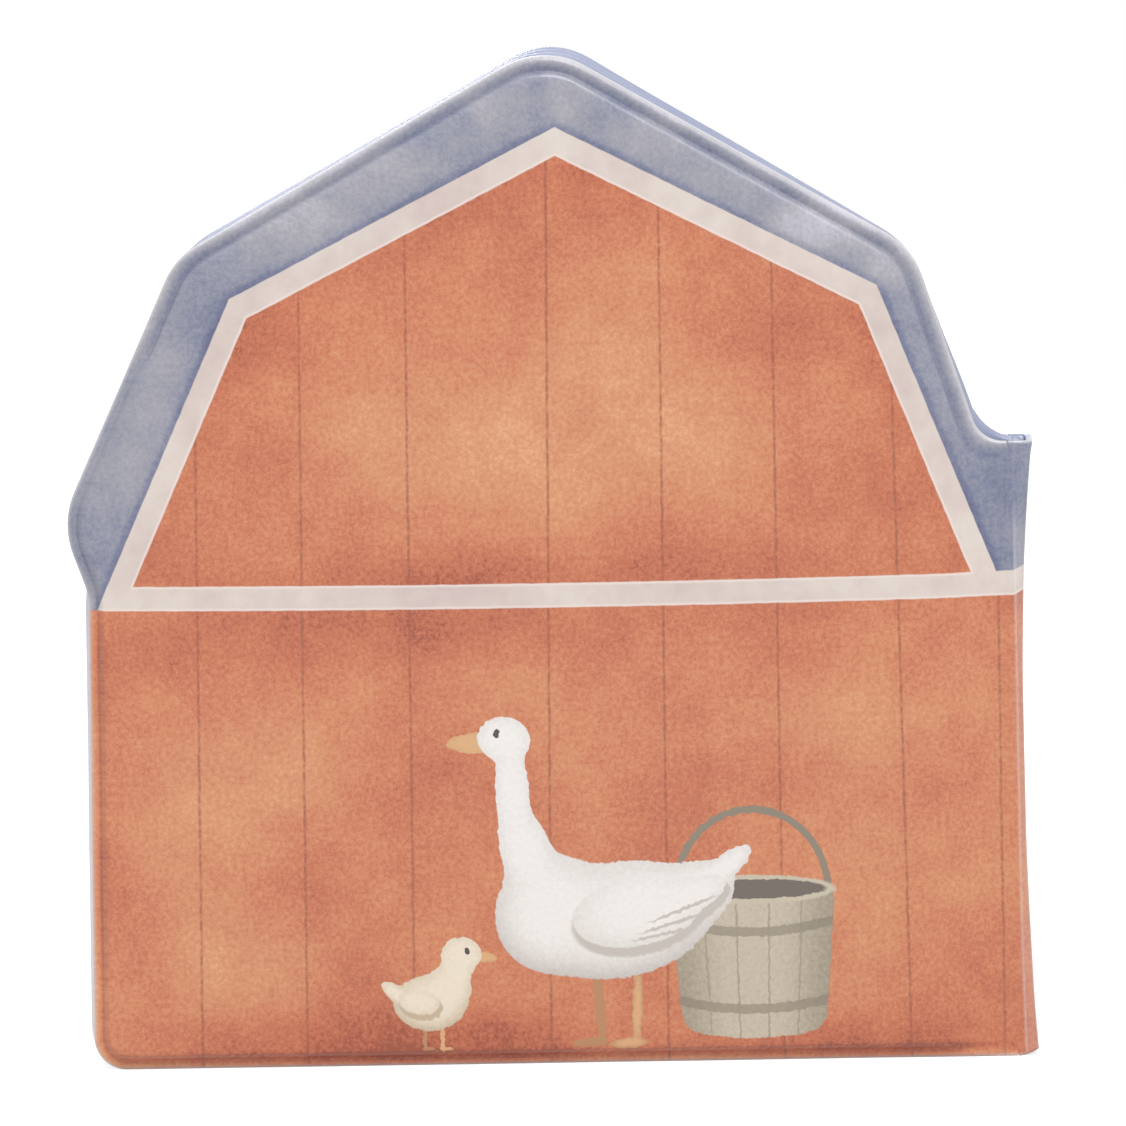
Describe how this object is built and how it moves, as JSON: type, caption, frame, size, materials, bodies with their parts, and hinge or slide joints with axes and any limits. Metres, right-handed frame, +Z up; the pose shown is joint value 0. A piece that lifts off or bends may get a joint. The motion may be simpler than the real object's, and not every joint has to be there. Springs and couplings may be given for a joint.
{
  "type": "bath book",
  "caption": "Soft waterproof bath book cut to a barn outline, with padded welded film leaves, two hinged covers and a wrapped film spine.",
  "frame": {"origin": "middle of the closed book's footprint, on the surface that it stands on", "axes": "+Z up, +X towards the spine, -Y out of the back cover, which is the cover with its spine on the viewer's right"},
  "size_m": [0.1477, 0.0184, 0.1556],
  "materials": {
    "cover_film": "satin printed film over foam",
    "page_film": "satin printed film over foam",
    "spine_film": "satin printed film"
  },
  "bodies": {
    "block": {"pages": "page_film", "spine": "spine_film"},
    "back_cover": {"back_cover": "cover_film"},
    "front_cover": {"front_cover": "cover_film"}
  },
  "joints": [
    {"name": "back_cover_hinge", "type": "hinge", "parent": "block", "child": "back_cover", "pos_m": [0.0713, -0.0076, 0.0475], "axis": [0, 0, 1], "range_deg": [0, 180]},
    {"name": "front_cover_hinge", "type": "hinge", "parent": "block", "child": "front_cover", "pos_m": [0.0713, 0.0076, 0.0475], "axis": [0, 0, -1], "range_deg": [0, 180]}
  ]
}
